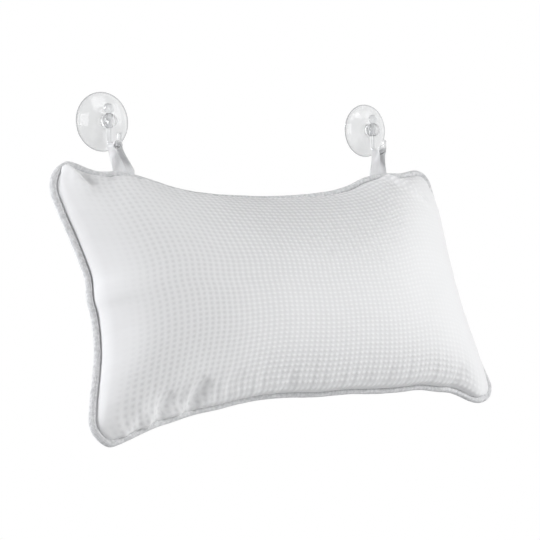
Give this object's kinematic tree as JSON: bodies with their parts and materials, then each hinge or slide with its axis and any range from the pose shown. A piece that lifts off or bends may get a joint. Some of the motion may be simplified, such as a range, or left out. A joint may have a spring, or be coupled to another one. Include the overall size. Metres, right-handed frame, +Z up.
{
  "type": "bath pillow",
  "caption": "Padded waffle-cloth bath pillow with a corded seam, hung by ribbon loops from clear hooks that turn in suction cups on the wall.",
  "frame": {"origin": "on the wall behind the pillow, midway between the centres of the two suction cups", "axes": "+X across the pillow to its right as seen from the front, +Y into the wall, +Z up; the pillow's front looks towards -Y"},
  "size_m": [0.3826, 0.113, 0.2529],
  "materials": {
    "waffle_cloth": "white waffle-weave cotton, cool white, matt",
    "piping_cloth": "bias strip of the same white cloth, matt",
    "wadding": "white fibre wadding",
    "cotton_cord": "natural cotton cord",
    "satin_ribbon": "white satin with a soft sheen",
    "clear_plastic": "clear moulded hard plastic, glossy",
    "soft_vinyl": "clear soft vinyl, slightly milky, glossy"
  },
  "bodies": {
    "pillow": {"front_panel": "waffle_cloth", "back_panel": "waffle_cloth", "filling": "wadding", "piping_cover": "piping_cloth", "piping_cord": "cotton_cord"},
    "left_ribbon": {"left_loop": "satin_ribbon"},
    "right_ribbon": {"right_loop": "satin_ribbon"},
    "left_hanger": {"left_hook": "clear_plastic"},
    "right_hanger": {"right_hook": "clear_plastic"},
    "left_sucker": {"left_cup": "soft_vinyl"},
    "right_sucker": {"right_cup": "soft_vinyl"}
  },
  "joints": [
    {"name": "left_loop_fold", "type": "hinge", "parent": "pillow", "child": "left_ribbon", "pos_m": [-0.1255, -0.0204, -0.0385], "axis": [1, 0, 0], "range_deg": [-80, 45]},
    {"name": "right_loop_fold", "type": "hinge", "parent": "pillow", "child": "right_ribbon", "pos_m": [0.1255, -0.0204, -0.0385], "axis": [1, 0, 0], "range_deg": [-80, 45]},
    {"name": "left_hook_sway", "type": "hinge", "parent": "left_ribbon", "child": "left_hanger", "pos_m": [-0.13, -0.0178, -0.0195], "axis": [0, 1, 0], "range_deg": [-35, 35]},
    {"name": "right_hook_sway", "type": "hinge", "parent": "right_ribbon", "child": "right_hanger", "pos_m": [0.13, -0.0178, -0.0195], "axis": [0, 1, 0], "range_deg": [-35, 35]},
    {"name": "left_cup_turn", "type": "hinge", "parent": "left_hanger", "child": "left_sucker", "pos_m": [-0.13, -0.0103, 0], "axis": [0, 0, 1], "range_deg": [-90, 90]},
    {"name": "right_cup_turn", "type": "hinge", "parent": "right_hanger", "child": "right_sucker", "pos_m": [0.13, -0.0103, 0], "axis": [0, 0, 1], "range_deg": [-90, 90]}
  ]
}
